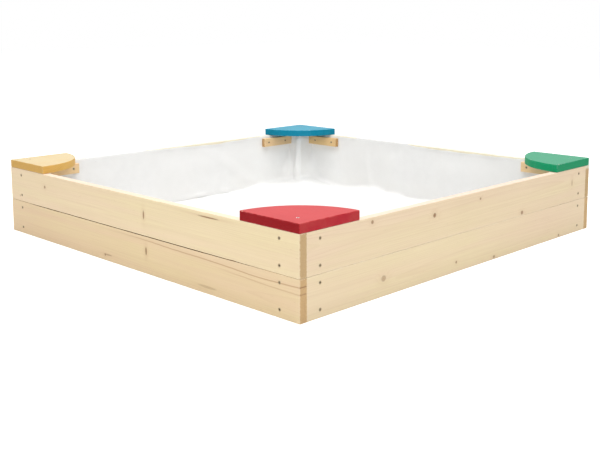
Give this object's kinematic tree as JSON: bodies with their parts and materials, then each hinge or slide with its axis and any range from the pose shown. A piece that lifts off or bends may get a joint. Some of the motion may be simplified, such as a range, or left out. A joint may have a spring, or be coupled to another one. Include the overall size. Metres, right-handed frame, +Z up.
{
  "type": "sandbox",
  "caption": "Low square wooden sandbox with stacked board walls, quarter-round painted corner seats, short rails in the corners, and a white fleece liner over the floor and inner walls.",
  "frame": {"origin": "centre of the square footprint, on the ground under the walls", "axes": "+Z up, +X from the left wall to the right wall, +Y from the front wall to the back wall. The front and back walls run the full length"},
  "size_m": [1.2, 1.2, 0.2106],
  "materials": {
    "spruce_boards": "planed, unfinished pale spruce",
    "spruce_frame": "planed, unfinished spruce",
    "paint_red": "wood with satin red glaze",
    "paint_green": "wood with satin green glaze",
    "paint_blue": "wood with satin blue glaze",
    "paint_yellow": "wood with satin yellow glaze",
    "fleece": "matt non-woven fleece",
    "zinc_steel": "bright zinc plated",
    "staple_wire": "galvanised wire"
  },
  "bodies": {
    "root": {"wall_front_lower": "spruce_boards", "wall_front_upper": "spruce_boards", "wall_back_lower": "spruce_boards", "wall_back_upper": "spruce_boards", "wall_left_lower": "spruce_boards", "wall_left_upper": "spruce_boards", "wall_right_lower": "spruce_boards", "wall_right_upper": "spruce_boards", "post_front_right": "spruce_frame", "post_back_right": "spruce_frame", "post_back_left": "spruce_frame", "post_front_left": "spruce_frame", "rail_front_right_a": "spruce_frame", "rail_front_right_b": "spruce_frame", "rail_back_right_a": "spruce_frame", "rail_back_right_b": "spruce_frame", "rail_back_left_a": "spruce_frame", "rail_back_left_b": "spruce_frame", "rail_front_left_a": "spruce_frame", "rail_front_left_b": "spruce_frame", "seat_red": "paint_red", "seat_green": "paint_green", "seat_blue": "paint_blue", "seat_yellow": "paint_yellow", "liner": "fleece", "wall_screws_front": "zinc_steel", "wall_screws_right": "zinc_steel", "wall_screws_back": "zinc_steel", "wall_screws_left": "zinc_steel", "rail_screws_front_right": "zinc_steel", "rail_screws_back_right": "zinc_steel", "rail_screws_back_left": "zinc_steel", "rail_screws_front_left": "zinc_steel", "seat_screw_red": "zinc_steel", "seat_screw_green": "zinc_steel", "seat_screw_blue": "zinc_steel", "seat_screw_yellow": "zinc_steel", "staples_front": "staple_wire", "staples_right": "staple_wire", "staples_back": "staple_wire", "staples_left": "staple_wire"}
  },
  "joints": []
}
